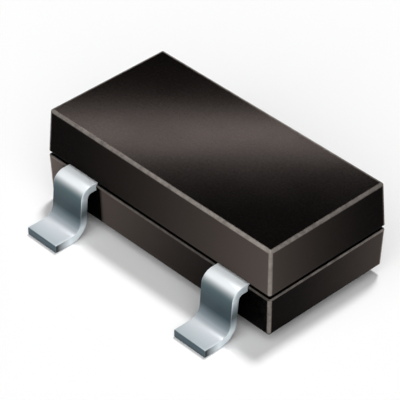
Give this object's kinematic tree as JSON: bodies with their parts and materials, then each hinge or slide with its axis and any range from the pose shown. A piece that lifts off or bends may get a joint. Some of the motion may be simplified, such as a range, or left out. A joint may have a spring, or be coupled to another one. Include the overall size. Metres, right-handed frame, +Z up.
{
  "type": "sot-23 transistor",
  "caption": "Small surface-mount transistor: black moulded body with a parting line round its sides and bent metal leads on both long sides, for soldering flat onto a circuit board.",
  "frame": {"origin": "centre of the part's outline on the seating plane, the plane that the undersides of the lead feet lie on", "axes": "+X along the body's length, +Y across it towards the side with the single collector lead, +Z up from the board through the top of the body"},
  "size_m": [0.0028, 0.0024, 0.001],
  "materials": {
    "moulding_compound": "smooth black epoxy, moulded, satin",
    "tinned_leads": "bright tin plating on copper-alloy strip",
    "silicon": "polished silicon",
    "die_adhesive": "silver-filled epoxy, cured",
    "bond_wires": "drawn gold wire"
  },
  "bodies": {
    "root": {"mould_body": "moulding_compound", "base_lead": "tinned_leads", "emitter_lead": "tinned_leads", "collector_lead": "tinned_leads", "silicon_die": "silicon", "die_attach": "die_adhesive", "base_wire": "bond_wires", "emitter_wire": "bond_wires"}
  },
  "joints": []
}
